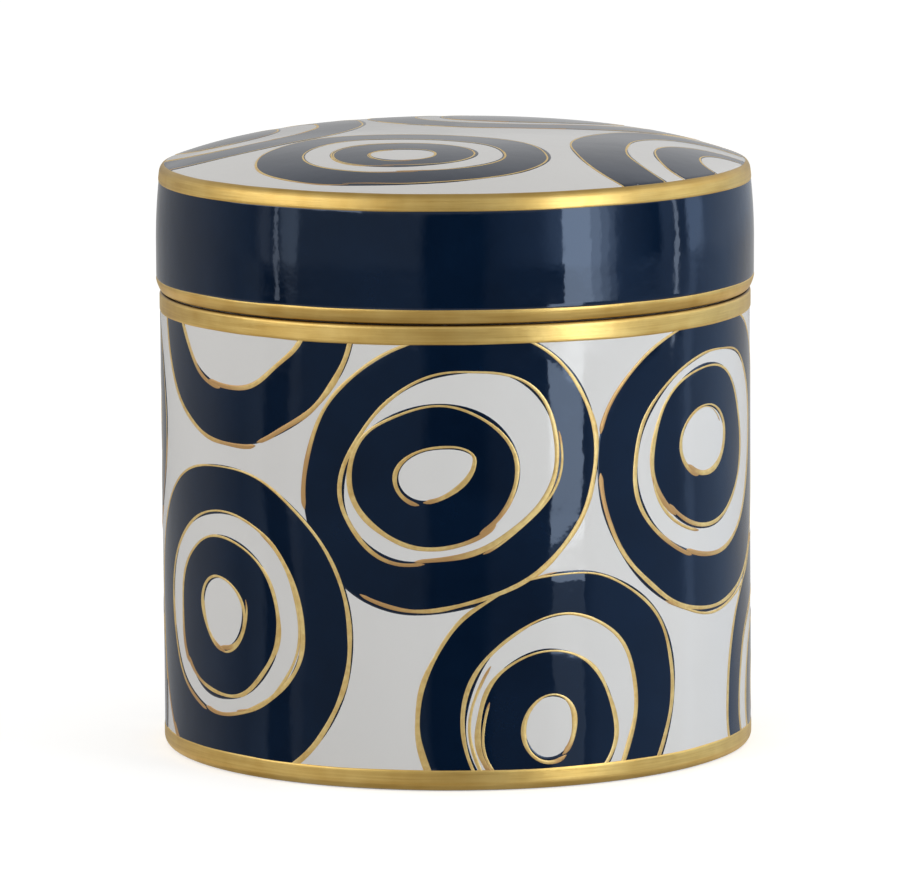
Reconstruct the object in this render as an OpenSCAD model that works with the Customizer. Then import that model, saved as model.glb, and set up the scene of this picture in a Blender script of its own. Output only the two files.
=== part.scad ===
// Round covered vanity box: a glazed porcelain body with a lift-off domed lid.
// The lid is an upturned cup that slips over a neck and rests on the body's shoulder.
// The bands and roundels are colours and gold fired onto the glaze. Each is a thin layer of
// its own, so that every material is a separate solid. Millimetres, +Z up, and the origin is
// the middle of the foot, on the surface that the box stands on. The front faces -Y.

/* [Body] */
// Outside diameter of the body, over the paint
body_d = 138; // [120:1:160]
// Height of the shoulder that the lid rests on
seat_h = 107; // [90:1:130]
// Thickness of the body's wall
wall_t = 5; // [4:0.5:6]
// Thickness of the floor, above the foot recess
floor_t = 5; // [4:0.5:7]
// Depth of the recess inside the foot ring
foot_recess = 2; // [1:0.5:3]
// Width of the unglazed foot ring that the box stands on
foot_w = 6; // [4:0.5:9]
// Corner radius under the foot
foot_r = 2.2; // [1.5:0.1:3]

/* [Neck] */
// Height of the neck above the shoulder
neck_h = 12; // [8:1:14]
// Thickness of the neck
neck_t = 4; // [3:0.5:5]
// Width of the shoulder, from the neck to the outside of the body
shoulder_w = 4.2; // [3.8:0.1:5]
// Radius of the shoulder's outer edge
shoulder_r = 0.6; // [0.4:0.1:1]

/* [Lid] */
// How far the lid's side stands out past the body
lid_overhang = 0.9; // [0.6:0.1:1.2]
// Gap between the neck and the inside of the lid, on each side
lid_gap = 0.8; // [0.5:0.1:1]
// Height above the shoulder at which the lid's side starts to lean in
side_h = 11; // [8:1:14]
// Height above the shoulder of the centre of the rounded crown edge
crown_h = 27.4; // [26:0.1:30]
// Radius of the rounded crown edge
crown_r = 2.5; // [2:0.1:3.5]
// Lean of the lid's side where it meets the crown edge, in degrees
side_lean = 7; // [5:1:9]
// Slope of the top where it leaves the crown edge, in degrees
dome_slope = 20; // [15:1:25]
// Rise of the domed top above the crown edge
dome_rise = 7.4; // [6:0.1:9]
// Thickness of the top at its middle
lid_t = 5; // [4:0.5:6]

/* [Bands] */
// Thickness of the paint and gold on the glaze
paint_t = 0.2; // [0.15:0.05:0.3]
// Height of the gold band round the foot
foot_band_h = 5.1; // [4:0.1:7]
// Height of the gold band under the shoulder
top_band_h = 4.8; // [4:0.1:7]
// Height of the gold band round the lid's rim
rim_band_h = 3.4; // [2.5:0.1:4]
// Height of the crown band's lower edge above the shoulder
crown_band_h = 25.4; // [22:0.1:25.4]

/* [Roundels] */
// Radii of a roundel's second, third and centre edges, as shares of its outer radius
ring_shares = [0.7, 0.52, 0.24]; // [0.1:0.01:0.9]
// Width of the gold lines that edge the rings
line_w = 1.2; // [0.8:0.1:1.6]

/* [Hidden] */

white_glaze = "#cfccc8";
navy_glaze = "#15223a";
fired_gold = "#b8963f";

$fn = 96;
arc_steps = 8;
dome_steps = 12;
// How far a cutting tool reaches past what it cuts
over = 1;

// Roundels on the body: degrees from the front towards +X, height and outer radius
body_spots = [
    [-49, 111, 32],
    [-1, 73, 33],
    [58, 73, 33.5],
    [118, 77, 31],
    [176, 84, 31],
    [220, 106, 20],
    [258, 75, 30],
    [-52, 36, 34],
    [20, 15, 29],
    [92, 14, 32],
    [148, 20, 30],
    [204, 27, 30],
    [255, 11, 29],
];
// Roundels on the lid: X, Y and outer radius
lid_spots = [
    [-12, -38, 28],
    [62, -27, 34],
    [-52, 14, 30],
    [22, 34, 31],
    [-30, 72, 26],
];

// Body, in the half plane of radius and height
body_r = body_d / 2 - paint_t;
cavity_r = body_r - wall_t;
floor_z = foot_recess + floor_t;
floor_cove_r = 6;
foot_in_r = body_r - foot_r - foot_w;
neck_out_r = body_r - shoulder_w;
neck_in_r = neck_out_r - neck_t;
neck_top_z = seat_h + neck_h;
neck_lip_r = 1.4;
shoulder_t = 4;
foot_band_start = -60;
top_band_end = 40;

// Outside of the lid: arcs that run into each other, from the rim up to the dome
lid_r = body_r + lid_overhang;
rim_lean = 30;
rim_edge_r = 1.2;
rim_arc_r = 6.9;
rim_arc_c = [
    lid_r - rim_arc_r,
    seat_h + rim_edge_r + (rim_arc_r - rim_edge_r) * sin(rim_lean),
];
rim_edge_c = [
    lid_r - rim_arc_r + (rim_arc_r - rim_edge_r) * cos(rim_lean),
    seat_h + rim_edge_r,
];
side_arc_r = (crown_h + crown_r * sin(side_lean) - side_h) / sin(side_lean);
side_arc_c = [lid_r - side_arc_r, seat_h + side_h];
crown_c = [side_arc_c.x + (side_arc_r - crown_r) * cos(side_lean), seat_h + crown_h];
crown_end = 90 - dome_slope;
dome_edge = crown_c + crown_r * [cos(crown_end), sin(crown_end)];
dome_power = dome_edge.x * tan(dome_slope) / dome_rise;

// Inside of the lid: a straight skirt, a cove and a ceiling that follows the dome
skirt_in_r = neck_out_r + lid_gap;
lid_cove_r = 7;
ceiling_edge_r = skirt_in_r - lid_cove_r + lid_cove_r * cos(crown_end);
ceiling_rise = ceiling_edge_r * tan(dome_slope) / dome_power;
ceiling_edge = [ceiling_edge_r, dome_edge.y + dome_rise - lid_t - ceiling_rise];
lid_cove_c = ceiling_edge - lid_cove_r * [cos(crown_end), sin(crown_end)];

// Where the lid's bands begin and end, as angles on its arcs
rim_band_start = -45;
rim_band_end = asin((seat_h + rim_band_h - rim_arc_c.y) / rim_arc_r);
crown_band_start = asin((crown_band_h - side_h) / side_arc_r);
crown_band_end = 57;

// Points on an arc about c, from angle a0 to a1
function arc(c, r, a0, a1) =
    [for (i = [0:arc_steps]) let (a = a0 + (a1 - a0) * i / arc_steps) c + r * [cos(a), sin(a)]];

// Points up a dome that rises from its edge to the axis
function dome(edge, rise) = [
    for (i = [0:dome_steps])
        let (share = 1 - i / dome_steps)
        [edge.x * share, edge.y + rise * (1 - pow(share, dome_power))]
];

function reversed(points) = [for (i = [len(points) - 1:-1:0]) points[i]];

// The banded parts of each outline, t outside the porcelain. The shells use them at t = 0,
// so that paint and porcelain share one face.
function foot_curve(t) = concat(
    arc([body_r - foot_r, foot_r], foot_r + t, foot_band_start, 0),
    [[body_r + t, foot_band_h]]
);
function top_curve(t) = concat(
    [[body_r + t, seat_h - top_band_h]],
    arc([body_r - shoulder_r, seat_h - shoulder_r], shoulder_r + t, 0, top_band_end)
);
function rim_curve(t) = concat(
    arc(rim_edge_c, rim_edge_r + t, rim_band_start, -rim_lean),
    arc(rim_arc_c, rim_arc_r + t, -rim_lean, rim_band_end)
);
function side_curve(t) = concat(
    arc(rim_arc_c, rim_arc_r + t, rim_band_end, 0),
    arc(side_arc_c, side_arc_r + t, 0, crown_band_start)
);
function crown_curve(t) = concat(
    arc(side_arc_c, side_arc_r + t, crown_band_start, side_lean),
    arc(crown_c, crown_r + t, side_lean, crown_band_end)
);

// A layer of paint between an outline and the same outline further out
module paint_layer(inside, outside) {
    rotate_extrude() polygon(concat(outside, reversed(inside)));
}

module tube(out_r, in_r, h) {
    difference() {
        cylinder(r = out_r, h = h);
        translate([0, 0, -over]) cylinder(r = in_r, h = h + 2 * over);
    }
}

// The two coloured rings of a roundel, with room left for the gold lines
module rings(r, h) {
    edge = line_w / 2;
    tube(r - edge, r * ring_shares[0] + edge, h);
    tube(r * ring_shares[1] - edge, r * ring_shares[2] + edge, h);
}

// The gold lines that edge those rings
module lines(r, h) {
    for (share = concat([1], ring_shares)) tube(r * share + line_w / 2, r * share - line_w / 2, h);
}

// Keeps what its children share with the paint layer on the body's wall between the bands.
// The children point outwards at each roundel, and $spot_r is the roundel's radius.
module on_body_wall() {
    for (spot = body_spots) intersection() {
        translate([0, 0, foot_band_h])
            tube(body_r + paint_t, body_r, seat_h - top_band_h - foot_band_h);
        rotate([0, 0, spot[0]]) translate([0, 0, spot[1]]) rotate([90, 0, 0])
            let ($spot_r = spot[2]) children();
    }
}

// The same for the paint layer on the lid's dome
module on_lid_dome() {
    for (spot = lid_spots) intersection() {
        paint_layer(dome(dome_edge, dome_rise), dome(dome_edge + [0, paint_t], dome_rise));
        translate([spot[0], spot[1], dome_edge.y - over])
            let ($spot_r = spot[2]) children();
    }
}

module body_shell() {
    color(white_glaze) rotate_extrude() polygon(concat(
        [[foot_in_r, 0]],
        arc([body_r - foot_r, foot_r], foot_r, -90, foot_band_start),
        foot_curve(0),
        top_curve(0),
        arc([body_r - shoulder_r, seat_h - shoulder_r], shoulder_r, top_band_end, 90),
        [[neck_out_r, seat_h]],
        arc([neck_out_r - neck_lip_r, neck_top_z - neck_lip_r], neck_lip_r, 0, 90),
        arc([neck_in_r + neck_lip_r, neck_top_z - neck_lip_r], neck_lip_r, 90, 180),
        [
            [neck_in_r, seat_h - shoulder_t],
            [cavity_r, seat_h - shoulder_t - (cavity_r - neck_in_r)],
        ],
        arc([cavity_r - floor_cove_r, floor_z + floor_cove_r], floor_cove_r, 0, -90),
        [[0, floor_z], [0, foot_recess], [foot_in_r - foot_recess / 2, foot_recess]]
    ));
}

module body_roundels() {
    color(navy_glaze) on_body_wall() rings($spot_r, body_d);
}

module body_roundel_lines() {
    color(fired_gold) on_body_wall() lines($spot_r, body_d);
}

module body_top_band() {
    color(fired_gold) paint_layer(top_curve(0), top_curve(paint_t));
}

module body_foot_band() {
    color(fired_gold) paint_layer(foot_curve(0), foot_curve(paint_t));
}

module lid_shell() {
    color(white_glaze) rotate_extrude() polygon(concat(
        [[skirt_in_r, seat_h]],
        arc(rim_edge_c, rim_edge_r, -90, rim_band_start),
        rim_curve(0),
        side_curve(0),
        crown_curve(0),
        arc(crown_c, crown_r, crown_band_end, crown_end),
        dome(dome_edge, dome_rise),
        reversed(dome(ceiling_edge, ceiling_rise)),
        arc(lid_cove_c, lid_cove_r, crown_end, 0)
    ));
}

module lid_side_band() {
    color(navy_glaze) paint_layer(side_curve(0), side_curve(paint_t));
}

module lid_roundels() {
    color(navy_glaze) on_lid_dome() rings($spot_r, lid_t + dome_rise);
}

module lid_roundel_lines() {
    color(fired_gold) on_lid_dome() lines($spot_r, lid_t + dome_rise);
}

module lid_crown_band() {
    color(fired_gold) paint_layer(crown_curve(0), crown_curve(paint_t));
}

module lid_rim_band() {
    color(fired_gold) paint_layer(rim_curve(0), rim_curve(paint_t));
}

body_shell();
body_roundels();
body_roundel_lines();
body_top_band();
body_foot_band();
lid_shell();
lid_side_band();
lid_roundels();
lid_roundel_lines();
lid_crown_band();
lid_rim_band();
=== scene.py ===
# The looks of the round covered vanity box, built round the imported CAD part.
#
# The box is two pieces of glazed porcelain, a body and a lid. Each CAD node is replaced by one mesh:
# the porcelain is lathed with finer curves, the navy rings are thin raised patches of paint, and the
# gold is bands and hand-drawn strokes. Shapes are worked out in millimetres and made in metres.
import math

import bpy
import numpy as np
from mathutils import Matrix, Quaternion, Vector


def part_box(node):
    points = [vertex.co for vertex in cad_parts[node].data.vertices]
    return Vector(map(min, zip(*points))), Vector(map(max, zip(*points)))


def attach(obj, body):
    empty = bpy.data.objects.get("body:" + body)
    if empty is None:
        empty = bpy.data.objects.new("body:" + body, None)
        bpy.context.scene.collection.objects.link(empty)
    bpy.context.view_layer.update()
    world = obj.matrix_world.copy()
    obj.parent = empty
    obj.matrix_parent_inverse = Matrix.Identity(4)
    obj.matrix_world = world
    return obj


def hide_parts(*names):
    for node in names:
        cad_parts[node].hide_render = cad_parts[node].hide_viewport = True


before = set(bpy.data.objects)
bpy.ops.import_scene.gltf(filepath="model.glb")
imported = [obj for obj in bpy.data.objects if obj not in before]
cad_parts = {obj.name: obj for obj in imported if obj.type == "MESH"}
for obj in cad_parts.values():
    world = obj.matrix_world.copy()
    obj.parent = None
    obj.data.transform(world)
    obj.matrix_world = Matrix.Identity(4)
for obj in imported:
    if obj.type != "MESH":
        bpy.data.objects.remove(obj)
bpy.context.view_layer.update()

MM = 0.001

# ---------------------------------------------------------------- the part's own measures, in mm


def node_box(node):
    """The lowest and highest corner of a CAD node, in millimetres."""
    low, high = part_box(node)
    return low / MM, high / MM


BODY_R = node_box("body_shell")[1].x
NECK_TOP = node_box("body_shell")[1].z
SEAT_Z = node_box("lid_shell")[0].z
LID_R = node_box("lid_shell")[1].x
LID_TOP = node_box("lid_shell")[1].z
FOOT_BAND_TOP = node_box("body_foot_band")[1].z
TOP_BAND_LOW = node_box("body_top_band")[0].z
PAINT = node_box("body_foot_band")[1].x - BODY_R

# Body
WALL = 5
FLOOR_Z = 7
FLOOR_COVE_R = 6
FOOT_RECESS = 2
FOOT_R = 2.2
FOOT_WIDTH = 6
FOOT_IN_R = BODY_R - FOOT_R - FOOT_WIDTH
SHOULDER_R = 0.6
NECK_OUT_R = BODY_R - 4.2
NECK_IN_R = NECK_OUT_R - 4
NECK_LIP_R = 1.4
NECK_ROOT_Z = SEAT_Z - 4
CAVITY_R = BODY_R - WALL
# The lid rests on the inner part of the seat. From there the seat falls away to the outside, which
# leaves the dark gap between the two pieces.
SEAT_CONTACT_R = BODY_R - 2.6
SEAT_CLEARANCE = 0.02
SEAT_GAP = 0.4
# The angles on the foot's edge, the shoulder's edge and the rim's edge where the glaze is wiped off
FOOT_WIPED = -62
SHOULDER_WIPED = 60
RIM_WIPED = -50

# Lid: arcs that run into each other, from the rim up to the dome
RIM_LEAN = 30
RIM_EDGE_R = 1.2
RIM_ARC_R = 6.9
SIDE_Z = SEAT_Z + 11
SIDE_LEAN = 7
CROWN_Z = SEAT_Z + 27.4
CROWN_R = 2.5
CROWN_END = 70
SKIRT_IN_R = NECK_OUT_R + 0.8
LID_COVE_R = 7
LID_THICKNESS = 5


def polar(radius, degrees):
    """The point at that radius and angle, as a radius and height pair."""
    return np.array([radius * math.cos(math.radians(degrees)), radius * math.sin(math.radians(degrees))])


rim_edge_centre = np.array([LID_R - RIM_ARC_R, SEAT_Z + RIM_EDGE_R])
rim_edge_centre[0] += (RIM_ARC_R - RIM_EDGE_R) * math.cos(math.radians(RIM_LEAN))
rim_centre = rim_edge_centre - polar(RIM_ARC_R - RIM_EDGE_R, -RIM_LEAN)
side_r = (CROWN_Z + polar(CROWN_R, SIDE_LEAN)[1] - SIDE_Z) / math.sin(math.radians(SIDE_LEAN))
side_centre = np.array([LID_R - side_r, SIDE_Z])
crown_centre = side_centre + polar(side_r - CROWN_R, SIDE_LEAN)
dome_edge = crown_centre + polar(CROWN_R, CROWN_END)
dome_rise = LID_TOP - dome_edge[1]
dome_slope = math.tan(math.radians(90 - CROWN_END))
dome_power = dome_edge[0] * dome_slope / dome_rise

# The gold bands' edges on the lid's arcs, in degrees
RIM_BAND_LOW = -88
RIM_BAND_TOP_Z = SEAT_Z + 3.4
RIM_BAND_HIGH = math.degrees(math.asin((RIM_BAND_TOP_Z - rim_centre[1]) / RIM_ARC_R))
CROWN_BAND_LOW_Z = SEAT_Z + 25.4
CROWN_BAND_LOW = math.degrees(math.asin((CROWN_BAND_LOW_Z - SIDE_Z) / side_r))
CROWN_BAND_HIGH = 57
# How far in over the shoulder the body's top band runs
TOP_BAND_REACH = 0.6


# ---------------------------------------------------------------- outlines in radius and height


def arc(centre, radius, start, end, steps=12):
    """Points on an arc about centre, from angle start to end in degrees."""
    return [centre + polar(radius, a) for a in np.linspace(start, end, steps + 1)]


def straight(start, end, step=3.0):
    """Points along a straight line, about step apart."""
    start, end = np.array(start, float), np.array(end, float)
    count = max(1, round(np.linalg.norm(end - start) / step))
    return [start + (end - start) * share for share in np.linspace(0, 1, count + 1)]


def dome_height(r):
    """The height of the lid's top at distance r from the axis, on the dome or the crown's edge."""
    on_dome = dome_edge[1] + dome_rise * (1 - (np.minimum(r, dome_edge[0]) / dome_edge[0]) ** dome_power)
    on_crown = crown_centre[1] + np.sqrt(CROWN_R**2 - np.maximum(r - crown_centre[0], 0) ** 2)
    return np.where(r > dome_edge[0], on_crown, on_dome)


def dome(edge_r, drop, steps=30):
    """Points up the dome from edge_r to the axis, drop below its outer face."""
    return [np.array([r, dome_height(r) - drop]) for r in np.linspace(edge_r, 0, steps + 1)]


def body_outline():
    """The body's closed outline as (points, is it unglazed) runs."""
    foot_centre = np.array([BODY_R - FOOT_R, FOOT_R])
    edge_centre = np.array([BODY_R - SHOULDER_R, SEAT_Z - SEAT_GAP - SHOULDER_R])
    seat_top = SEAT_Z - SEAT_CLEARANCE
    lip_z = NECK_TOP - NECK_LIP_R
    neck_foot = [CAVITY_R, NECK_ROOT_Z - CAVITY_R + NECK_IN_R]
    recess_edge = [FOOT_IN_R - FOOT_RECESS / 2, FOOT_RECESS]
    cove_centre = np.array([CAVITY_R - FLOOR_COVE_R, FLOOR_Z + FLOOR_COVE_R])
    return [
        (straight([FOOT_IN_R, 0], [BODY_R - FOOT_R, 0]) + arc(foot_centre, FOOT_R, -90, FOOT_WIPED), True),
        (arc(foot_centre, FOOT_R, FOOT_WIPED, 0), False),
        (straight([BODY_R, FOOT_R], [BODY_R, edge_centre[1]]), False),
        (arc(edge_centre, SHOULDER_R, 0, SHOULDER_WIPED, 6), False),
        (arc(edge_centre, SHOULDER_R, SHOULDER_WIPED, 90, 4), True),
        (straight([edge_centre[0], SEAT_Z - SEAT_GAP], [SEAT_CONTACT_R, seat_top], 1), True),
        (straight([SEAT_CONTACT_R, seat_top], [NECK_OUT_R, seat_top]), True),
        (straight([NECK_OUT_R, seat_top], [NECK_OUT_R, lip_z]), False),
        (arc(np.array([NECK_OUT_R - NECK_LIP_R, lip_z]), NECK_LIP_R, 0, 90, 6), False),
        (arc(np.array([NECK_IN_R + NECK_LIP_R, lip_z]), NECK_LIP_R, 90, 180, 6), False),
        (straight([NECK_IN_R, lip_z], [NECK_IN_R, NECK_ROOT_Z]), False),
        (straight([NECK_IN_R, NECK_ROOT_Z], neck_foot), False),
        (straight(neck_foot, [CAVITY_R, cove_centre[1]]), False),
        (arc(cove_centre, FLOOR_COVE_R, 0, -90), False),
        (straight([cove_centre[0], FLOOR_Z], [0, FLOOR_Z]), False),
        (straight([0, FOOT_RECESS], recess_edge), False),
        (straight(recess_edge, [FOOT_IN_R, 0], 1), True),
    ]


def lid_outline():
    """The lid's closed outline as (points, is it unglazed) runs."""
    ceiling_r = SKIRT_IN_R - LID_COVE_R + polar(LID_COVE_R, CROWN_END)[0]
    ceiling_z = dome_height(ceiling_r) - LID_THICKNESS
    cove_centre = np.array([ceiling_r, ceiling_z]) - polar(LID_COVE_R, CROWN_END)
    return [
        (straight([SKIRT_IN_R, SEAT_Z], [rim_edge_centre[0], SEAT_Z]), True),
        (arc(rim_edge_centre, RIM_EDGE_R, -90, RIM_WIPED, 5), True),
        (arc(rim_edge_centre, RIM_EDGE_R, RIM_WIPED, -RIM_LEAN, 4), False),
        (arc(rim_centre, RIM_ARC_R, -RIM_LEAN, 0), False),
        (arc(side_centre, side_r, 0, SIDE_LEAN), False),
        (arc(crown_centre, CROWN_R, SIDE_LEAN, CROWN_END), False),
        (dome(dome_edge[0], 0), False),
        (dome(ceiling_r, LID_THICKNESS)[::-1], False),
        (arc(cove_centre, LID_COVE_R, CROWN_END, 0), False),
        (straight([SKIRT_IN_R, cove_centre[1]], [SKIRT_IN_R, SEAT_Z]), False),
    ]


# ---------------------------------------------------------------- meshes

SEGMENTS = 256
# Waves of the wall: size in mm, number round it, mm of height to a radian, and phase
SWELLS = ((0.05, 3, 17, 0.4), (0.04, 5, -11, 2.1), (0.02, 11, 7, 4.0))
# Waves of the lid's top: size in mm, then mm to a radian and phase along X and along Y. They set in
# over a height above the neck's top.
TOP_SWELL = 0.03
TOP_SWELL_X = (13, 1.2)
TOP_SWELL_Y = (15, 0.7)
TOP_SWELL_FADE = 12
SHARP = math.radians(38)


def uneven(points):
    """Points in mm, moved by about a tenth, because a thrown and fired pot is never quite true."""
    x, y, z = points.T
    turn = np.arctan2(y, x)
    swell = sum(size * np.sin(waves * turn + z / pitch + phase) for size, waves, pitch, phase in SWELLS)
    outwards = 1 + swell / BODY_R
    on_top = np.clip((z - NECK_TOP) / TOP_SWELL_FADE, 0, 1)
    (pitch_x, phase_x), (pitch_y, phase_y) = TOP_SWELL_X, TOP_SWELL_Y
    rise = TOP_SWELL * np.sin(x / pitch_x + phase_x) * np.sin(y / pitch_y + phase_y) * on_top
    return np.stack([x * outwards, y * outwards, z + rise], axis=1)


def make_piece(name, points, faces, materials, face_materials=None):
    """A smooth-shaded piece with its corners in mm, which replaces the CAD node of the same name."""
    mesh = bpy.data.meshes.new(name)
    mesh.from_pydata((uneven(points) * MM).tolist(), [], faces)
    for material in materials:
        mesh.materials.append(material)
    if face_materials is not None:
        mesh.polygons.foreach_set("material_index", face_materials)
    mesh.shade_smooth()
    mesh.set_sharp_from_angle(angle=SHARP)
    mesh.update()
    piece = bpy.data.objects.new(name + "_finish", mesh)
    bpy.context.scene.collection.objects.link(piece)
    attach(piece, name.split("_")[0])
    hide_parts(name)
    return piece


def give_attribute(piece, name, values):
    """A number for each corner of a piece, which its material reads by that name."""
    attribute = piece.data.attributes.new(name, "FLOAT", "POINT")
    attribute.data.foreach_set("value", np.ravel(values).astype(np.float32))


def grid_faces(rows, columns, wrap_rows=False, wrap_columns=False):
    """Four-cornered faces over a grid of points laid out row by row."""
    row = np.arange(rows if wrap_rows else rows - 1)
    column = np.arange(columns if wrap_columns else columns - 1)
    r, c = np.meshgrid(row, column, indexing="ij")
    r2, c2 = (r + 1) % rows, (c + 1) % columns
    corners = np.stack([r * columns + c, r2 * columns + c, r2 * columns + c2, r * columns + c2], axis=-1)
    return corners.reshape(-1, 4)


def lathe(name, runs, materials):
    """A solid of revolution from an outline's runs. Unglazed runs take the second material."""
    outline, unglazed = [], []
    for points, bare in runs:
        kept = points[1:] if outline else points
        outline += kept
        unglazed += [int(bare)] * len(kept)
    outline, unglazed = np.array(outline[:-1]), unglazed[:-1]
    turn = np.linspace(0, 2 * math.pi, SEGMENTS, endpoint=False)
    x = np.outer(np.cos(turn), outline[:, 0])
    y = np.outer(np.sin(turn), outline[:, 0])
    z = np.tile(outline[:, 1], (SEGMENTS, 1))
    points = np.stack([x, y, z], axis=-1).reshape(-1, 3)
    faces = grid_faces(SEGMENTS, len(outline), wrap_rows=True, wrap_columns=True)
    face_materials = np.tile(np.roll(unglazed, -1), SEGMENTS)
    return make_piece(name, points, faces.tolist(), materials, face_materials)


# ---------------------------------------------------------------- bands

# How far in from its edges a band reaches its full thickness, and how far its edges stray, in mm
BAND_EDGE = 0.5
BAND_WAVER = 0.22
WAVER_WAVES = 8
WAVER_LOBES = 3
WAVER_PHASE = 6.28
# Where a band's hidden side lies, as a share of the way from the porcelain out to its face
BAND_INSIDE = -0.3
# Over how many mm a band's painted shade sets in
SHADE_FADE = 0.35
# How far the navy side runs on under the rim band and the crown band, in degrees
SIDE_UNDERLAP = (4, 0.2)


def waver(turn, seed, amount):
    """A smooth closed wave round the box, from 0 to amount."""
    rng = np.random.default_rng(seed)
    wave = sum(
        rng.normal() / count * np.sin(count * WAVER_LOBES * turn + rng.uniform(0, WAVER_PHASE))
        for count in range(1, WAVER_WAVES + 1)
    )
    return amount * (0.5 + 0.5 * np.tanh(wave))


def band(name, face, film, material, seed, across=22, shade_reach=(0, 0), fade=SHADE_FADE, depth=1):
    """A band of paint or gold. face is its outline on the porcelain and film the same outline further
    out. The film thins out towards both edges, which waver as a banding brush leaves them. Its colour
    can be darkened by painted shade from each edge: the reach of that in mm is given for the low and
    the high edge, fade is over how many mm it sets in, and depth is how dark it gets."""
    face, film = np.array(face), np.array(film)
    run = np.concatenate([[0], np.cumsum(np.linalg.norm(np.diff(face, axis=0), axis=1))])
    turn = np.linspace(0, 2 * math.pi, SEGMENTS, endpoint=False)
    start = waver(turn, seed, BAND_WAVER)
    end = run[-1] - waver(turn, seed + 1, BAND_WAVER)
    ease = 0.5 - 0.5 * np.cos(np.linspace(0, math.pi, across))
    place = start[:, None] + (end - start)[:, None] * ease
    from_edge = np.minimum(place - start[:, None], end[:, None] - place)
    thickness = np.sqrt(np.clip(from_edge / BAND_EDGE, 0, 1))
    outside = on_outline(place, thickness, run, face, film)
    inside = on_outline(place[:, ::-1], np.full_like(place, BAND_INSIDE), run, face, film)
    outline = np.concatenate([outside, inside], axis=1)
    x = outline[..., 0] * np.cos(turn)[:, None]
    y = outline[..., 0] * np.sin(turn)[:, None]
    points = np.stack([x, y, outline[..., 1]], axis=-1).reshape(-1, 3)
    faces = grid_faces(SEGMENTS, 2 * across, wrap_rows=True, wrap_columns=True)
    piece = make_piece(name, points, faces.tolist(), [material])
    # Painted shade: how dark the band's colour is made near the edges it is given for
    from_low, from_high = shade_reach[0] - place, shade_reach[1] - (run[-1] - place)
    painted_darkness = (np.clip(from_low, 0, fade) + np.clip(from_high, 0, fade)) / fade * depth
    give_attribute(piece, "painted_shade", np.concatenate([painted_darkness, painted_darkness[:, ::-1]], axis=1))


def on_outline(place, thickness, run, face, film):
    """Radius and height at each place along an outline, part of the way from face to film."""
    on_face = [np.interp(place, run, face[:, axis]) for axis in (0, 1)]
    on_film = [np.interp(place, run, film[:, axis]) for axis in (0, 1)]
    return np.stack([a + (b - a) * thickness for a, b in zip(on_face, on_film)], axis=-1)


def foot_band_line(t):
    """The foot band, from under the foot's edge up the wall, t out from the porcelain."""
    corner = arc(np.array([BODY_R - FOOT_R, FOOT_R]), FOOT_R + t, -60, 0)
    return corner + straight([BODY_R + t, FOOT_R], [BODY_R + t, FOOT_BAND_TOP], 1)[1:]


def top_band_line(t):
    """The body's top band, from the wall round the shoulder's edge and a little way in."""
    edge_z = SEAT_Z - SEAT_GAP - SHOULDER_R
    edge_r = BODY_R - SHOULDER_R
    top_z = SEAT_Z - SEAT_GAP + t
    wall = straight([BODY_R + t, TOP_BAND_LOW], [BODY_R + t, edge_z], 1)
    corner = arc(np.array([edge_r, edge_z]), SHOULDER_R + t, 0, 90)[1:]
    return wall + corner + straight([edge_r, top_z], [edge_r - TOP_BAND_REACH, top_z])[1:]


def rim_band_line(t):
    """The lid's rim band, from under the rim up to its side."""
    edge = arc(rim_edge_centre, RIM_EDGE_R + t, RIM_BAND_LOW, -RIM_LEAN)
    return edge + arc(rim_centre, RIM_ARC_R + t, -RIM_LEAN, RIM_BAND_HIGH)[1:]


def side_band_line(t):
    """The navy side, which runs on a little under the gold at both ends."""
    low = arc(rim_centre, RIM_ARC_R + t, RIM_BAND_HIGH - SIDE_UNDERLAP[0], 0)
    return low + arc(side_centre, side_r + t, 0, CROWN_BAND_LOW + SIDE_UNDERLAP[1])[1:]


def crown_band_line(t):
    """The lid's crown band, from its side over the edge of the dome."""
    side = arc(side_centre, side_r + t, CROWN_BAND_LOW, SIDE_LEAN, 6)
    return side + arc(crown_centre, CROWN_R + t, SIDE_LEAN, CROWN_BAND_HIGH)[1:]


# ---------------------------------------------------------------- roundels
# A roundel is four loops: the outer edge of its outer ring, that ring's inner edge, and the edges
# of its inner ring. A loop is its leftmost, top, rightmost and bottom points. On the body these are
# degrees from the front towards +X and heights in mm, and on the lid they are X and Y in mm.

BODY_ROUNDELS = [
    [
        [(-76, 108), (-48, 145), (-19.3, 110), (-50, 76.8)],
        [(-67, 112), (-48, 135), (-28.5, 113), (-50, 89.6)],
    ],
    [
        [(-30, 68), (6, 105), (27.5, 77), (-8, 41)],
        [(-21.9, 68), (5, 96.6), (19.6, 77), (-8.5, 52.3)],
        [(-20.2, 71), (-3, 88.7), (11.5, 74), (-4, 56)],
        [(-11.5, 72), (-1, 79.2), (3.6, 76), (-6, 66.5)],
    ],
    [
        [(28, 74), (60, 105), (90, 74), (58, 36.5)],
        [(36.3, 72), (61, 96.8), (81, 77), (59, 49.2)],
        [(40.6, 74), (57, 93.3), (72.4, 75), (57, 56)],
        [(48.2, 76), (56.5, 84.3), (63.8, 77), (56, 68.3)],
    ],
    [
        [(-83, 35), (-51, 71), (-20.3, 34), (-52, -3)],
        [(-72.5, 38), (-50, 60.7), (-30.6, 35), (-52, 13.4)],
        [(-67.3, 36), (-51, 54.6), (-36.2, 36), (-52, 17.7)],
        [(-58.3, 38), (-52, 45.6), (-45.2, 38), (-52, 29)],
    ],
    [
        [(-7.2, 15), (22, 49.3), (46, 22), (20, -13)],
        [(1.3, 14), (21, 40.3), (36.8, 20), (20, -6)],
        [(4.2, 14), (17.5, 32), (31.4, 12), (18, -3)],
        [(12.6, 14), (18, 22), (23.3, 15), (17.5, 7)],
    ],
]
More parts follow.
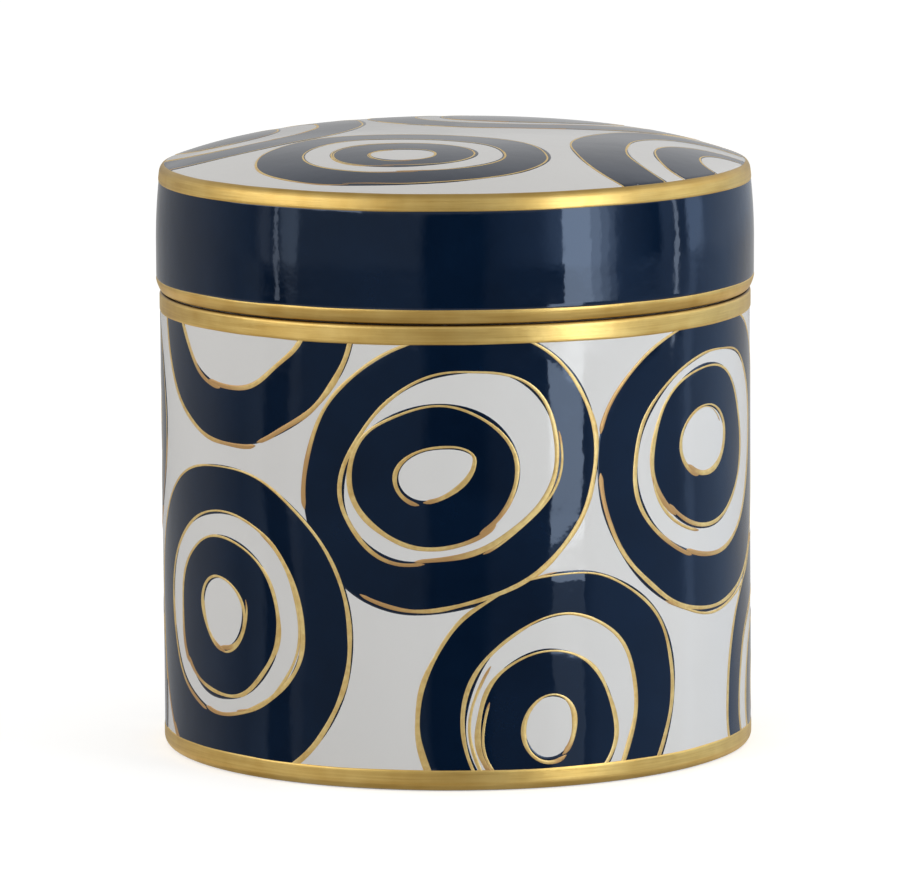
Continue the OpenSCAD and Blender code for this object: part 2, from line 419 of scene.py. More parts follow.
# Roundels of the back, which are rounder: degrees from the front, height and radius
BACK_ROUNDELS = [
    (92, 14, 33),
    (118, 77, 31.5),
    (176, 84, 32),
    (220, 106, 21),
    (258, 75, 30.5),
    (148, 20, 31),
    (204, 27, 31),
    (255, 11, 30),
]
LID_ROUNDELS = [
    [
        [(-45, -35), (-20, -12.5), (21.5, -42), (-8, -62)],
        [(-34.5, -35), (-20, -20.5), (11.5, -42), (-9, -55)],
        [(-28, -37), (-17, -27.5), (5, -41), (-10, -51)],
        [(-19.5, -39), (-14, -35), (-4, -42), (-9, -46.5)],
    ],
    [
        [(27, -30), (66, 10), (97, -27), (66, -66)],
        [(39.3, -27), (66, 2), (88, -27), (66, -55)],
        [(46, -26), (66, -7), (80, -25), (66, -47)],
        [(56.3, -22), (66, -12), (75, -24), (66, -34)],
    ],
    [
        [(-80, 14), (-52, 48), (-21, 14), (-52, -21)],
        [(-71, 14), (-52, 38), (-31.5, 14), (-52, -11)],
        [(-65, 14), (-52, 30), (-41, 14), (-52, -3)],
    ],
    [
        [(-20, 28), (20, 64), (58, 28), (20, -1)],
        [(-9, 28), (20, 53), (47, 28), (20, 8)],
        [(-3, 28), (20, 47), (40, 28), (20, 13)],
    ],
]
LID_BACK_ROUNDELS = [(-30, 72, 26)]
# A plain roundel's loops, as shares of its radius, and how far they are off centre and out of round
RING_SHARES = (1, 0.7, 0.52, 0.24)
OFF_CENTRE = 0.03
OUT_OF_ROUND = 0.06

# A degree round the wall, in mm
DEGREE = math.radians(1) * BODY_R
# Bezier handle length for a quarter of an oval
HANDLE = 0.5523
LOOP_STEPS = 60
# How far a hand strays from a loop, and the shortest of the waves it does so in, in mm
HAND_DRIFT = 0.25
HAND_WAVE = 14

# How high the paint stands, in mm. Each roundel lies a little over the one before.
NAVY_LIFT = 0.05
ROUNDEL_STEP = 0.004
GOLD_LIFT = {"body": 0.1, "lid": 0.08}
RING_STEPS = {"body": 4, "lid": 20}
# Across the edge of a ring: mm in from the gold's middle line, and share of the paint's height
RING_EDGE = np.array([-0.5, -0.38, -0.1])
RING_EDGE_HEIGHTS = np.array([-0.2, 0.7, 1])
# How big the point in the middle of a filled roundel is, as a share of the roundel
CENTRE_SHARE = 0.001
# How far paint runs on under a gold band, in mm
BODY_UNDERLAP = 0.4
LID_UNDERLAP = 0.25
LID_PAINT_R = crown_centre[0] + polar(CROWN_R, CROWN_BAND_HIGH)[0] + LID_UNDERLAP

# A gold stroke's width and the spacing of its points, in mm, and its shape across as shares of the
# width and of the lift
GOLD_WIDTH = {"body": 1.5, "lid": 0.6}
STROKE_STEP = 0.8
STROKE_OFFSETS = np.array([-0.5, -0.33, 0, 0.33, 0.5])
STROKE_HEIGHTS = np.array([-0.2, 0.75, 1, 0.75, -0.2])
# Where it may start, as a share of the loop, and how far it may run on past its start, in mm
STROKE_START = (0.62, 0.9)
STROKE_OVERLAP = (-1.2, 5)
# How far it strays from the loop, the shortest wave of that, and how far each end is off, in mm
STROKE_DRIFT = 0.5
STROKE_DRIFT_WAVE = 18
STROKE_MISS = 0.35
# How long its rounded ends are in mm, and what share of that is left off to keep the tip from being a
# point
STROKE_END = 1.5
STROKE_TIP = 0.04
# Shares of its width: where it runs level, how much wider it is upright, how much thinner along the
# top of a loop, and how uneven it is, in waves of so many mm or more
LEVEL_WIDTH = 0.8
UPRIGHT_GAIN = 0.2
TOP_LOSS = 0.42
STROKE_UNEVEN = 0.25
STROKE_UNEVEN_WAVE = 9
# How much of its length is worn at each end, and how much painted shade darkens it along its edges
WORN_SHARE = 0.08
EDGE_SHADE = 5
# Body strokes that leave a gap where two roundels touch, by roundel and loop: where the stroke
# starts, as a share of the loop, and the gap in mm
GAPS = {(1, 0): (0.98, 24), (2, 0): (0.03, 9)}
# What share of the loops is gone over again. That stroke's width and how far it is to one side are
# shares of the first one's width, and what it leaves out is a share of the loop.
SECOND_STROKES = 0.5
SECOND_WIDTH = 0.55
SECOND_ASIDE = (0.4, 0.7)
SECOND_GAP = (0.6, 0.85)


def oval(corners, scale_x=1.0):
    """A closed loop through its leftmost, top, rightmost and bottom points, in four smooth quarters."""
    corners = np.array(corners, float) * [scale_x, 1]
    t = np.arange(LOOP_STEPS)[:, None] / LOOP_STEPS
    quarters = []
    for i in range(4):
        start, end = corners[i], corners[(i + 1) % 4]
        leaves, arrives = np.array([[0, HANDLE], [HANDLE, 0]])[:: 1 if i % 2 == 0 else -1]
        first = start + (end - start) * leaves
        second = end - (end - start) * arrives
        quarters.append(
            (1 - t) ** 3 * start + 3 * (1 - t) ** 2 * t * first + 3 * (1 - t) * t**2 * second + t**3 * end
        )
    return np.concatenate(quarters)


def round_loops(x, y, radius, rng, scale_x=1.0):
    """The four loops of a plain roundel about x, y, each a little off centre and out of round."""
    centre = np.array([x * scale_x, y])
    loops = []
    for share in RING_SHARES:
        reach = radius * share
        middle = centre + rng.uniform(-OFF_CENTRE, OFF_CENTRE, 2) * radius
        ends = [(-reach, 0), (0, reach), (reach, 0), (0, -reach)]
        skew = rng.uniform(-OUT_OF_ROUND, OUT_OF_ROUND, (4, 2)) * reach
        loops.append(oval(middle + np.array(ends) + skew))
    return loops


def along(loop):
    """Distance along a closed loop of points, from 0 at the first and all the way round to it."""
    steps = np.linalg.norm(np.roll(loop, -1, axis=0) - loop, axis=1)
    return np.concatenate([[0], np.cumsum(steps)])


def sideways(path):
    """Unit vectors across a path of points."""
    ahead = np.gradient(path, axis=0)
    ahead /= np.linalg.norm(ahead, axis=1)[:, None]
    return np.stack([ahead[:, 1], -ahead[:, 0]], axis=1)


def brush_noise(place, length, rng, finest):
    """Smooth noise of about -1 to 1 that repeats over length, down to waves of finest mm."""
    most = max(3, int(length / finest))
    counts = rng.integers(1, most + 1, 10)
    phases = rng.uniform(0, 2 * math.pi, 10)
    waves = [np.sin(2 * math.pi * n * place / length + p) / n**0.35 for n, p in zip(counts, phases)]
    return sum(waves) / 3


def hand_drawn(loop, rng):
    """The loop as a hand draws it."""
    place = along(loop)
    drift = HAND_DRIFT * brush_noise(place[:-1], place[-1], rng, HAND_WAVE)
    return loop + sideways(loop) * drift[:, None]


def ring_patch(outer, inner, lift, steps, filled):
    """The patch of a painted ring between two loops: map points in rows across it, their heights,
    a share for wear and painted shade that is none here, and that its rows close round. If it is
    filled, the inner loop is hardly more than a point, and the paint is level up to it."""
    places, edge_heights = (np.zeros(1), np.ones(1)) if filled else (RING_EDGE, RING_EDGE_HEIGHTS)
    width = np.linalg.norm(outer - inner, axis=1)[:, None]
    start = RING_EDGE / width
    end = 1 - places[::-1] / width
    middle = np.linspace(start[:, -1], end[:, 0], steps + 1, axis=1)[:, 1:-1]
    share = np.concatenate([start, middle, end], axis=1)
    points = outer[:, None] + (inner - outer)[:, None] * share[..., None]
    heights = lift * np.concatenate([RING_EDGE_HEIGHTS, np.ones(steps - 1), edge_heights[::-1]])
    return points, np.tile(heights, (len(width), 1)), np.zeros(share.shape), True


def stroke_run(length, rng, gap):
    """Where along a loop of that length one brush stroke goes. Its ends meet badly near the bottom,
    or leave the gap."""
    start = length * rng.uniform(*STROKE_START)
    overlap = rng.uniform(*STROKE_OVERLAP)
    if gap:
        start, overlap = length * gap[0], -gap[1]
    return np.linspace(start, start + length + overlap, int(length / STROKE_STEP))


def stroke_path(loop, place, rng, aside):
    """A stroke's middle line, aside mm in from the loop and not quite true to it, and the unit
    vectors across it."""
    loop_place = along(loop)
    length = loop_place[-1]
    closed = np.concatenate([loop, loop[:1]])
    path = np.stack([np.interp(place % length, loop_place, closed[:, axis]) for axis in (0, 1)], axis=1)
    drift = STROKE_DRIFT * brush_noise(place, length, rng, STROKE_DRIFT_WAVE)
    drift += np.linspace(-STROKE_MISS, STROKE_MISS, len(place))
    across = sideways(path)
    return path + across * (drift + aside)[:, None], across


def gold_stroke(loop, rng, usual_width, lift, gap=None, aside=0):
    """The patch of one gold stroke round a loop. The brush is held flat, so that the line is thinner
    along the top."""
    length = along(loop)[-1]
    place = stroke_run(length, rng, gap)
    path, across = stroke_path(loop, place, rng, aside)
    to_end = np.minimum(place - place[0], place[-1] - place)
    taper = np.sqrt(np.clip(to_end / STROKE_END, STROKE_TIP, 1))
    flat_brush = LEVEL_WIDTH + UPRIGHT_GAIN * np.abs(across[:, 0]) - TOP_LOSS * np.clip(-across[:, 1], 0, 1)
    unevenness = 1 + STROKE_UNEVEN * brush_noise(place, length, rng, STROKE_UNEVEN_WAVE)
    width = usual_width * flat_brush * unevenness * taper
    points = path[:, None] + across[:, None] * (width[:, None] * STROKE_OFFSETS)[..., None]
    worn_ends = np.exp(-((to_end / (WORN_SHARE * (place[-1] - place[0]))) ** 2))
    # Wear at the stroke's ends, and painted shade along its edges where the ridge falls away
    wear_and_edge_shade = worn_ends[:, None] + EDGE_SHADE * np.abs(STROKE_OFFSETS) ** 3
    return points, np.tile(lift * STROKE_HEIGHTS, (len(place), 1)), wear_and_edge_shade, False


def outline_strokes(loop, rng, surface, gap):
    """The gold round one loop: a stroke, and often part of a second one beside it."""
    width, lift = GOLD_WIDTH[surface], GOLD_LIFT[surface]
    strokes = [gold_stroke(loop, rng, width, lift, gap)]
    if rng.random() < SECOND_STROKES:
        again = (rng.random(), along(loop)[-1] * rng.uniform(*SECOND_GAP))
        aside = rng.choice([-1, 1]) * rng.uniform(*SECOND_ASIDE) * width
        strokes.append(gold_stroke(loop, rng, SECOND_WIDTH * width, lift, again, aside))
    return strokes


def wrap_body(points, heights):
    """Map points on the body's wall as points in space, that height above the glaze."""
    turn = points[..., 0] / BODY_R
    radius = BODY_R + heights
    return np.stack([radius * np.sin(turn), -radius * np.cos(turn), points[..., 1]], axis=-1)


def clip_body(points):
    """Map points moved in to the gold bands, and which of them were."""
    low, high = FOOT_BAND_TOP - BODY_UNDERLAP, TOP_BAND_LOW + BODY_UNDERLAP
    y = np.clip(points[..., 1], low, high)
    return np.stack([points[..., 0], y], axis=-1), y != points[..., 1]


def wrap_lid(points, heights):
    """Map points on the lid's dome as points in space, that height above the glaze."""
    r = np.linalg.norm(points, axis=-1)
    return np.stack([points[..., 0], points[..., 1], dome_height(r) + heights], axis=-1)


def clip_lid(points):
    """Map points moved in to the crown band, and which of them were."""
    r = np.linalg.norm(points, axis=-1)
    outside = r > LID_PAINT_R
    scale = np.where(outside, LID_PAINT_R / np.maximum(r, 1e-6), 1)
    return points * scale[..., None], outside


def paint(name, patches, clip, wrap, material):
    """One piece from all the patches of one paint, cut off under the gold bands."""
    corners, faces, wear_and_shade_values, first = [], [], [], 0
    for points, heights, wear_and_edge_shade, closed in patches:
        points, cut = clip(points)
        rows, columns = heights.shape
        made = grid_faces(rows, columns, wrap_rows=closed)
        faces.append(made[~cut.reshape(-1)[made].all(axis=1)] + first)
        corners.append(wrap(points, heights).reshape(-1, 3))
        wear_and_shade_values.append(wear_and_edge_shade.reshape(-1))
        first += rows * columns
    used, faces = np.unique(np.concatenate(faces), return_inverse=True)
    piece = make_piece(name, np.concatenate(corners)[used], faces.reshape(-1, 4).tolist(), [material])
    give_attribute(piece, "wear_and_edge_shade", np.concatenate(wear_and_shade_values)[used])


def paint_roundels(roundels, surface, clip, wrap, navy, gold, seed):
    """The navy rings and the gold strokes of one surface. A roundel with an odd number of loops is
    filled inside its last one."""
    rng = np.random.default_rng(seed)
    rings, strokes = [], []
    for number, loops in enumerate(roundels):
        lift = NAVY_LIFT + ROUNDEL_STEP * number
        drawn = [hand_drawn(loop, rng) for loop in loops]
        edges = list(drawn)
        has_disc = len(drawn) % 2 == 1
        if has_disc:
            middle = edges[-1].mean(axis=0)
            edges.append(middle + CENTRE_SHARE * (edges[-1] - middle))
        for outer, inner in zip(edges[0::2], edges[1::2]):
            filled = has_disc and inner is edges[-1]
            rings.append(ring_patch(outer, inner, lift, RING_STEPS[surface], filled))
        for order, loop in enumerate(drawn):
            gap = GAPS.get((number, order)) if surface == "body" else None
            strokes += outline_strokes(loop, rng, surface, gap)
    paint(surface + "_roundels", rings, clip, wrap, navy)
    paint(surface + "_roundel_lines", strokes, clip, wrap, gold)


# ---------------------------------------------------------------- materials

# Colours: pairs from dark to light or from deep to bright, or a single one
WHITE = ((0.775, 0.765, 0.75), (0.825, 0.815, 0.80))
NAVY = ((0.0012, 0.0070, 0.022), (0.0025, 0.0115, 0.034))
NAVY_GLOSS = (0.84, 1, 1.28, 1)
BAND_GOLD = ((0.77, 0.49, 0.13), (0.96, 0.70, 0.25))
LINE_GOLD = ((0.74, 0.48, 0.16), (0.96, 0.74, 0.32))
# Gold worn thin at the strokes' ends, also used as the painted shade along their edges
WORN_AND_SHADED_GOLD = (0.62, 0.37, 0.15)
# The painted shade on the gold, in the gap between lid and body and over the crown band's top
SHADE_COLOUR = (0.07, 0.03, 0.008)
BISCUIT = ((0.70, 0.64, 0.57), (0.78, 0.74, 0.69))
BISCUIT_PORES = (0.55, 0.47, 0.38)
CARD = ((0.78, 0.78, 0.775), (0.81, 0.81, 0.805))
# Smoothest and roughest
WHITE_ROUGHNESS = (0.05, 0.11)
NAVY_ROUGHNESS = (0.035, 0.085)
GOLD_ROUGHNESS = (0.36, 0.46)
BISCUIT_ROUGHNESS = (0.75, 0.95)
# How high each surface's bumps are, in metres
GLAZE_WAVES = 0.00009
GLAZE_PEEL = 0.00003
GOLD_WAVES = 0.0001
GOLD_STREAKS = 0.00004
BISCUIT_GRAIN = 0.0001
# Streaks to a metre: across a band, along it as a share of that, and on a line
BAND_STREAKS = 2600
DRAWN_OUT = 0.02
LINE_STREAKS = 700
# How much a band's streaks draw out its reflections, and which way, as a share of a turn
BAND_ANISOTROPY = 0.35
BAND_ROTATION = 0.25


def add(tree, kind, **settings):
    """A new node with those settings."""
    node = tree.nodes.new(kind)
    for key, value in settings.items():
        setattr(node, key, value)
    return node


def feed(tree, socket, value):
    """Links value to a socket if it is one, and otherwise sets the socket to it."""
    if isinstance(value, bpy.types.NodeSocket):
        tree.links.new(value, socket)
    else:
        socket.default_value = value


def calc(tree, operation, *values):
    """The result of a Math node."""
    node = add(tree, "ShaderNodeMath", operation=operation)
    for socket, value in zip(node.inputs, values):
        feed(tree, socket, value)
    return node.outputs[0]


def noise(tree, place, scale, detail=3.0, roughness=0.5):
    """Noise of 0 to 1 at that many waves a metre."""
    node = add(tree, "ShaderNodeTexNoise")
    feed(tree, node.inputs["Vector"], place)
    feed(tree, node.inputs["Scale"], scale)
    feed(tree, node.inputs["Detail"], detail)
    feed(tree, node.inputs["Roughness"], roughness)
    return node.outputs["Fac"]


def spread(tree, value, low, high, to_low=0.0, to_high=1.0):
    """value mapped from low..high to to_low..to_high, and held at the ends."""
    node = add(tree, "ShaderNodeMapRange")
    for socket, number in zip(node.inputs, (value, low, high, to_low, to_high)):
        feed(tree, socket, number)
    return node.outputs[0]


def blend(tree, share, first, second):
    """A colour that goes from first to second with share."""
    node = add(tree, "ShaderNodeMix", data_type="RGBA")
    feed(tree, node.inputs["Factor"], share)
    for socket, colour in zip((node.inputs[6], node.inputs[7]), (first, second)):
        feed(tree, socket, colour if isinstance(colour, bpy.types.NodeSocket) else (*colour, 1))
    return node.outputs[2]


def bump(tree, height, distance, below=None):
    """A bumped normal. height is 0 to 1, and distance is what 1 is in metres."""
    node = add(tree, "ShaderNodeBump")
    feed(tree, node.inputs["Height"], height)
    feed(tree, node.inputs["Distance"], distance)
    if below is not None:
        feed(tree, node.inputs["Normal"], below)
    return node.outputs["Normal"]


def start_material(name):
    """A new material, its node tree, its shader's inputs and where a point is on the part."""
    material = bpy.data.materials.new(name)
    material.use_nodes = True
    tree = material.node_tree
    shader = tree.nodes["Principled BSDF"]
    place = add(tree, "ShaderNodeTexCoord").outputs["Object"]
    return material, tree, shader.inputs, place


def glaze_surface(tree, place, inputs, roughness):
    """The gloss of a fired glaze: slow waves and a fine orange peel."""
    feed(tree, inputs["Roughness"], spread(tree, noise(tree, place, 90), 0.3, 0.7, *roughness))
    waves = bump(tree, noise(tree, place, 75, 1), GLAZE_WAVES)
    peel = bump(tree, noise(tree, place, 260, 2), GLAZE_PEEL, waves)
    feed(tree, inputs["Normal"], peel)


def white_glaze():
    """Clear glaze over white porcelain, faintly mottled."""
    material, tree, inputs, place = start_material("white_glaze")
    mottle = noise(tree, place, 35, 4)
    feed(tree, inputs["Base Color"], blend(tree, mottle, *WHITE))
    glaze_surface(tree, place, inputs, WHITE_ROUGHNESS)
    return material


def navy_glaze():
    """Deep blue paint under the gloss, a little thinner and lighter where the brush ran dry."""
    material, tree, inputs, place = start_material("navy_glaze")
    depth = noise(tree, place, 55, 5, 0.6)
    feed(tree, inputs["Base Color"], blend(tree, spread(tree, depth, 0.3, 0.75), *NAVY))
    inputs["Specular Tint"].default_value = NAVY_GLOSS
    glaze_surface(tree, place, inputs, NAVY_ROUGHNESS)
    return material


def round_grain(tree, place):
    """Coordinates that draw noise out into streaks round the box, whether on its side or its top."""
    parts = add(tree, "ShaderNodeSeparateXYZ")
    feed(tree, parts.inputs[0], place)
    x, y, z = parts.outputs
    r = calc(tree, "SQRT", calc(tree, "ADD", calc(tree, "MULTIPLY", x, x), calc(tree, "MULTIPLY", y, y)))
    joined = add(tree, "ShaderNodeCombineXYZ")
    feed(tree, joined.inputs[0], calc(tree, "MULTIPLY", x, DRAWN_OUT))
    feed(tree, joined.inputs[1], calc(tree, "MULTIPLY", y, DRAWN_OUT))
    feed(tree, joined.inputs[2], calc(tree, "SUBTRACT", z, r))
    return joined.outputs[0]


def gold(name, streaked, metallic, deep, bright):
    """Fired gold, between two colours, and redder where it is worn at a stroke's ends and, as painted
    shade, along a stroke's edges. Bands are streaked by the banding brush and darkened towards a dark
    colour where the band is given painted shade."""
    material, tree, inputs, place = start_material(name)
    grain = round_grain(tree, place) if streaked else place
    streak = noise(tree, grain, BAND_STREAKS if streaked else LINE_STREAKS, 4, 0.6)
    cloud = noise(tree, place, 110, 3)
    tone = calc(tree, "ADD", calc(tree, "MULTIPLY", streak, 0.5), calc(tree, "MULTIPLY", cloud, 0.5))
    # Wear at the strokes' ends and painted shade along their edges, mixed with random patches
    wear_and_edge_shade = add(tree, "ShaderNodeAttribute", attribute_name="wear_and_edge_shade").outputs["Fac"]
    wear_and_shade_share = spread(tree, calc(tree, "ADD", wear_and_edge_shade, calc(tree, "MULTIPLY", cloud, 0.9)), 0.7, 1.2)
    fired = blend(tree, spread(tree, tone, 0.33, 0.62), deep, bright)
    # The bands' painted shade darkens the gold towards the shade colour
    painted_shade = add(tree, "ShaderNodeAttribute", attribute_name="painted_shade").outputs["Fac"]
    feed(tree, inputs["Base Color"], blend(tree, painted_shade, blend(tree, wear_and_shade_share, fired, WORN_AND_SHADED_GOLD), SHADE_COLOUR))
    inputs["Metallic"].default_value = metallic
    feed(tree, inputs["Roughness"], spread(tree, streak, 0.3, 0.7, *GOLD_ROUGHNESS))
    if streaked:
        inputs["Anisotropic"].default_value = BAND_ANISOTROPY
        inputs["Anisotropic Rotation"].default_value = BAND_ROTATION
        tangent = add(tree, "ShaderNodeTangent", direction_type="RADIAL", axis="Z")
        feed(tree, inputs["Tangent"], tangent.outputs[0])
    waves = bump(tree, noise(tree, place, 200, 2), GOLD_WAVES)
    feed(tree, inputs["Normal"], bump(tree, streak, GOLD_STREAKS, waves))
    return material


def biscuit():
    """Bare fired porcelain, where the foot and the seat are wiped clean of glaze."""
    material, tree, inputs, place = start_material("biscuit")
    grain = noise(tree, place, 1500, 4, 0.7)
    tone = blend(tree, noise(tree, place, 60, 3), *BISCUIT)
    feed(tree, inputs["Base Color"], blend(tree, spread(tree, grain, 0.55, 0.8), tone, BISCUIT_PORES))
    feed(tree, inputs["Roughness"], spread(tree, grain, 0.3, 0.7, *BISCUIT_ROUGHNESS))
    feed(tree, inputs["Normal"], bump(tree, grain, BISCUIT_GRAIN))
    return material


# ---------------------------------------------------------------- the box


def build_box():
    """All the pieces of the body and the lid."""
    white, navy, bare = white_glaze(), navy_glaze(), biscuit()
    band_gold = gold("band_gold", True, 1, *BAND_GOLD)
    line_gold = gold("line_gold", False, 0.6, *LINE_GOLD)
    lathe("body_shell", body_outline(), [white, bare])
    lathe("lid_shell", lid_outline(), [white, bare])
    band("body_foot_band", foot_band_line(0), foot_band_line(PAINT), band_gold, 11)
    # The top band's upper edge and the rim band's lower edge are painted dark, as painted shade in the gap
    # between lid and body
    band("body_top_band", top_band_line(0), top_band_line(PAINT), band_gold, 21, shade_reach=(0, 1.3))
    band("lid_rim_band", rim_band_line(0), rim_band_line(PAINT), band_gold, 31, shade_reach=(0.9, 0))
    band("lid_side_band", side_band_line(0), side_band_line(NAVY_LIFT), navy, 41, across=34)
    # The crown band is painted darker over its upper part, as painted shade where it turns over onto the
    # dome
    crown = crown_band_line(0), crown_band_line(PAINT)
    band("lid_crown_band", *crown, band_gold, 51, shade_reach=(0, 2.2), fade=1.1, depth=0.4)

    rng = np.random.default_rng(7)
    body_roundels = [[oval(loop, DEGREE) for loop in roundel] for roundel in BODY_ROUNDELS]
    body_roundels += [round_loops(x, y, r, rng, DEGREE) for x, y, r in BACK_ROUNDELS]
    lid_roundels = [[oval(loop) for loop in roundel] for roundel in LID_ROUNDELS]
    lid_roundels += [round_loops(x, y, r, rng) for x, y, r in LID_BACK_ROUNDELS]
    paint_roundels(body_roundels, "body", clip_body, wrap_body, navy, line_gold, 3)
    paint_roundels(lid_roundels, "lid", clip_lid, wrap_lid, navy, line_gold, 5)


# ---------------------------------------------------------------- studio

# How far the floor reaches in metres, and how much brighter than its shading the camera sees it
FLOOR_REACH = 12
FLOOR_LIFT = 0.55


def build_floor():
    """A plain pale floor. It doesn't show in reflections, so that the gloss sees only the studio."""
    mesh = bpy.data.meshes.new("floor")
    corners = [(x * FLOOR_REACH, y * FLOOR_REACH, 0) for x, y in ((-1, -1), (1, -1), (1, 1), (-1, 1))]
    mesh.from_pydata(corners, [], [(0, 1, 2, 3)])
    material, tree, inputs, place = start_material("floor_card")
    card = blend(tree, noise(tree, place, 3, 2), *CARD)
    feed(tree, inputs["Base Color"], card)
    inputs["Roughness"].default_value = 1
    inputs["Specular IOR Level"].default_value = 0
    inputs["Emission Color"].default_value = (1, 1, 1, 1)
    seen = add(tree, "ShaderNodeLightPath").outputs["Is Camera Ray"]
    feed(tree, inputs["Emission Strength"], calc(tree, "MULTIPLY", seen, FLOOR_LIFT))
    mesh.materials.append(material)
    floor = bpy.data.objects.new("floor", mesh)
    bpy.context.scene.collection.objects.link(floor)
    floor.visible_glossy = False


# The room's brightness by direction: degrees from the camera's side, positive to its right, then
# brightness and tint. The body's wall mirrors BODY_ROOM, a little below the horizon, the lid's side
# mirrors LID_ROOM above it, and HIGH_ROOM is above both. Below them the rougher gold sees BELT, and
# then TABLE.
PLAIN = (1, 1, 1)
COOL = (0.94, 1, 1.05)
BLUE = (0.78, 0.98, 1.28)
LEFT_ROOM = [
    (-180, 0.5, PLAIN),
    (-160, 0.38, PLAIN),
    (-110, 0.34, PLAIN),
    (-92, 0.20, COOL),
    (-81, 0.30, COOL),
    (-79, 0.05, PLAIN),
    (-69, 0.06, PLAIN),
    (-67, 0.30, PLAIN),
    (-64, 0.28, PLAIN),
    (-62, 0.19, COOL),
    (-14, 0.18, COOL),
    (-10, 0.02, PLAIN),
    (10, 0.02, PLAIN),
]
BODY_ROOM = LEFT_ROOM + [
    (14, 0.10, PLAIN),
    (48, 0.14, BLUE),
    (56, 0.35, BLUE),
    (96, 0.34, BLUE),
    (99.5, 0.42, BLUE),
    (101.5, 0.70, BLUE),
    (104.5, 0.70, BLUE),
    (106.5, 0.44, BLUE),
    (125, 0.48, BLUE),
    (150, 0.5, PLAIN),
    (180, 0.5, PLAIN),
]
LID_ROOM = [
    (-180, 0.5, PLAIN),
    (-160, 0.38, PLAIN),
    (-110, 0.34, PLAIN),
    (-91, 0.24, COOL),
    (-83, 0.16, COOL),
    (-80.5, 0.26, PLAIN),
    (-79, 0.47, PLAIN),
    (-76, 0.47, PLAIN),
    (-75, 0.20, PLAIN),
    (-71, 0.20, PLAIN),
    (-69.5, 0.90, COOL),
    (-63.5, 1.08, COOL),
    (-61.7, 0.30, COOL),
    (-14, 0.30, COOL),
    (-10, 0.02, PLAIN),
    (10, 0.02, PLAIN),
    (14, 0.10, PLAIN),
    (33, 0.33, BLUE),
    (40.5, 0.85, BLUE),
    (62, 0.85, BLUE),
    (68, 0.31, BLUE),
    (76, 0.16, BLUE),
    (82, 0.06, BLUE),
    (84.5, 0.06, BLUE),
    (86.5, 0.42, BLUE),
    (91, 0.42, BLUE),
    (92.5, 0.20, BLUE),
    (99.5, 0.26, BLUE),
    (101, 1.4, BLUE),
    (108.5, 1.25, BLUE),
    (111.5, 0.58, BLUE),
    (180, 0.55, PLAIN),
]
HIGH_ROOM = [
    (-180, 0.64, PLAIN),
    (-117, 0.73, PLAIN),
    (-92, 0.84, PLAIN),
    (-62, 0.85, PLAIN),
    (-35, 0.82, PLAIN),
    (-8, 0.46, PLAIN),
    (12, 0.50, PLAIN),
    (35, 0.83, PLAIN),
    (60, 1.08, PLAIN),
    (85, 1.12, PLAIN),
    (115, 1.12, PLAIN),
    (150, 0.88, PLAIN),
    (180, 0.66, PLAIN),
]
OVERHEAD = (0.51, 0.50, 0.48)
BELT = (0.68, 0.62, 0.54)
TABLE = (0.29, 0.27, 0.24)
BACKDROP = (1, 1, 1)
# Elevations in degrees between which one part of the room gives way to the next
BODY_TO_LID = (-7, -5)
LID_TO_HIGH = (5.5, 9)
HIGH_TO_OVERHEAD = (30, 50)
BODY_TO_BELT = (-13, -16)
BELT_TO_TABLE = (-24, -32)
# Soft boxes: azimuth, then distance, lowest and highest edge and width in metres, brightness, tint
SOFT_BOXES = {
    "right_box_low": (40.2, 0.47, -0.015, 0.052, 0.108, 3.3, COOL),
    "right_box_foot": (40.6, 0.47, -0.17, -0.015, 0.10, 0.45, COOL),
    "left_box": (-64, 0.62, 0.206, 0.32, 0.70, 2.4, PLAIN),
    "left_strip": (-67.2, 0.45, 0.055, 0.30, 0.012, 1.5, PLAIN),
    "right_strip": (86.9, 0.45, 0.050, 0.30, 0.015, 2.2, COOL),
}
# One soft box more fades from its left edge, at an azimuth, to its right. It is made of sheets of
# light a little behind each other that all start at that edge: each one's width in metres and
# brightness
FADING_EDGE = 39.0
FADING_DISTANCE = 0.47
FADING_HEIGHTS = (0.050, 0.32)
FADING_SHEETS = ((0.091, 1.2), (0.123, 1.0), (0.152, 0.75), (0.178, 0.55))
SHEET_GAP = 0.002


def around(tree, azimuth, stops):
    """The room's colour at an azimuth in degrees, by straight lines between stops."""
    ramp = add(tree, "ShaderNodeValToRGB")
    feed(tree, ramp.inputs[0], spread(tree, azimuth, -180, 180))
    elements = ramp.color_ramp.elements
    while len(elements) < len(stops):
        elements.new(0.5)
    for element, (degrees, brightness, tint) in zip(elements, stops):
        element.position = (degrees + 180) / 360
        element.color = (*[brightness * part for part in tint], 1)
    return ramp.outputs["Color"]


def light_room():
    """A pale room with dark cards in it. The camera sees a white backdrop in its place."""
    world = bpy.data.worlds.new("studio")
    bpy.context.scene.world = world
    world.use_nodes = True
    tree = world.node_tree
    direction = add(tree, "ShaderNodeSeparateXYZ")
    feed(tree, direction.inputs[0], add(tree, "ShaderNodeTexCoord").outputs["Generated"])
    x, y, z = direction.outputs
    azimuth = calc(tree, "DEGREES", calc(tree, "ARCTAN2", x, calc(tree, "MULTIPLY", y, -1)))
    elevation = calc(tree, "DEGREES", calc(tree, "ARCSINE", z))
    room, lid_room, high_room = [around(tree, azimuth, stops) for stops in (BODY_ROOM, LID_ROOM, HIGH_ROOM)]
    layers = [
        (BODY_TO_LID, lid_room),
        (LID_TO_HIGH, high_room),
        (HIGH_TO_OVERHEAD, OVERHEAD),
        (BODY_TO_BELT, BELT),
        (BELT_TO_TABLE, TABLE),
    ]
    for fade, layer in layers:
        room = blend(tree, spread(tree, elevation, *fade), room, layer)
    seen = add(tree, "ShaderNodeLightPath").outputs["Is Camera Ray"]
    background = tree.nodes["Background"]
    feed(tree, background.inputs["Color"], blend(tree, seen, room, BACKDROP))
    feed(tree, background.inputs["Strength"], 1)


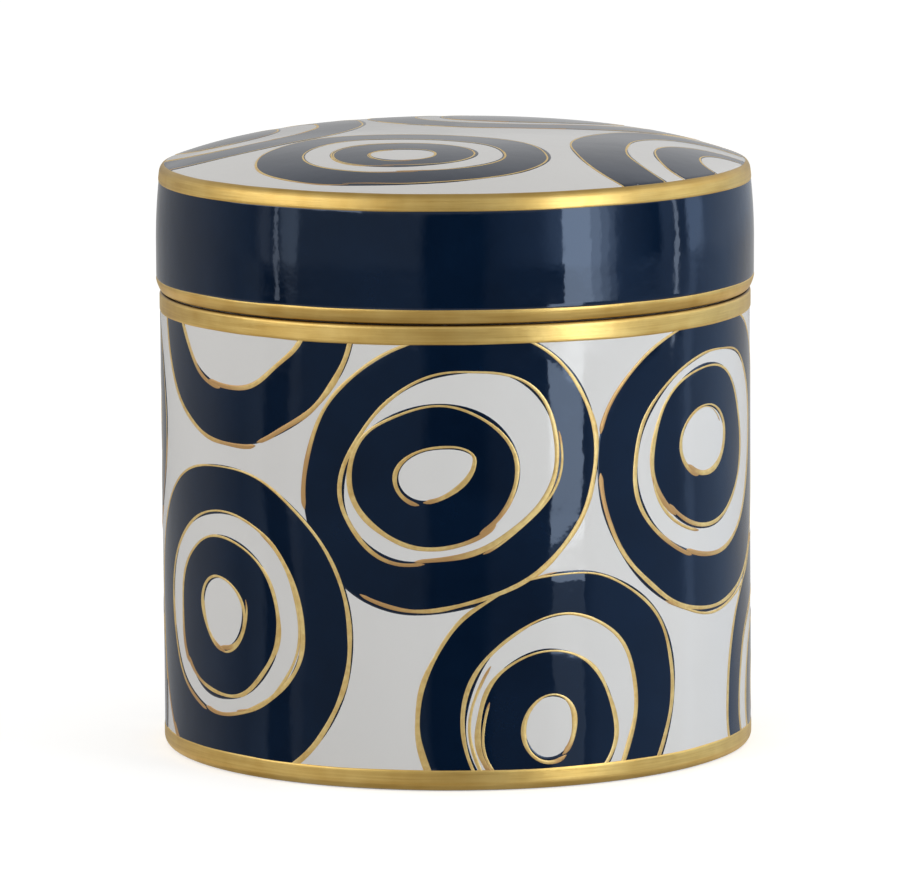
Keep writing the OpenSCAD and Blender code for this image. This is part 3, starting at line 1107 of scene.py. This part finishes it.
def add_soft_box(name, azimuth, distance, lowest, highest, width, brightness, tint):
    """An upright rectangle of light that faces the box."""
    data = bpy.data.lights.new(name, "AREA")
    data.shape = "RECTANGLE"
    data.size, data.size_y = width, highest - lowest
    data.energy = brightness * math.pi * data.size * data.size_y
    data.color = tint
    light = bpy.data.objects.new(name, data)
    bpy.context.scene.collection.objects.link(light)
    turn = math.radians(azimuth)
    light.location = (distance * math.sin(turn), -distance * math.cos(turn), (lowest + highest) / 2)
    light.rotation_euler = (math.radians(90), 0, turn)
    light.visible_camera = False


def add_fading_box():
    """The soft box that fades to the right, as sheets with one left edge."""
    for number, (width, brightness) in enumerate(FADING_SHEETS):
        distance = FADING_DISTANCE + SHEET_GAP * number
        azimuth = FADING_EDGE + math.degrees(math.atan(width / 2 / distance))
        add_soft_box(f"fading_box_{number}", azimuth, distance, *FADING_HEIGHTS, width, brightness, COOL)


# ---------------------------------------------------------------- camera

CAMERA_TARGET = Vector((0, 0, 69)) * MM
CAMERA_DISTANCE = 1.863
CAMERA_ELEVATION = 8.36
CAMERA_ROLL = -0.36
CAMERA_LENS = 318.2
# How far off the middle of the picture the camera points, as a share of the picture's width
CAMERA_SHIFT = (-0.0068, 0.0053)


def place_camera():
    """A long lens from a little above, as the box was seen."""
    data = bpy.data.cameras.new("camera")
    data.sensor_width = 36
    data.lens = CAMERA_LENS
    data.shift_x, data.shift_y = CAMERA_SHIFT
    camera = bpy.data.objects.new("camera", data)
    bpy.context.scene.collection.objects.link(camera)
    rise = math.radians(CAMERA_ELEVATION)
    back = Vector((0, -math.cos(rise), math.sin(rise)))
    camera.location = CAMERA_TARGET + back * CAMERA_DISTANCE
    camera.rotation_mode = "QUATERNION"
    roll = Quaternion((0, 0, 1), math.radians(CAMERA_ROLL))
    camera.rotation_quaternion = (-back).to_track_quat("-Z", "Y") @ roll
    bpy.context.scene.camera = camera


build_box()
build_floor()
light_room()
for name, settings in SOFT_BOXES.items():
    add_soft_box(name, *settings)
add_fading_box()
place_camera()
bpy.context.scene.view_settings.view_transform = "Standard"
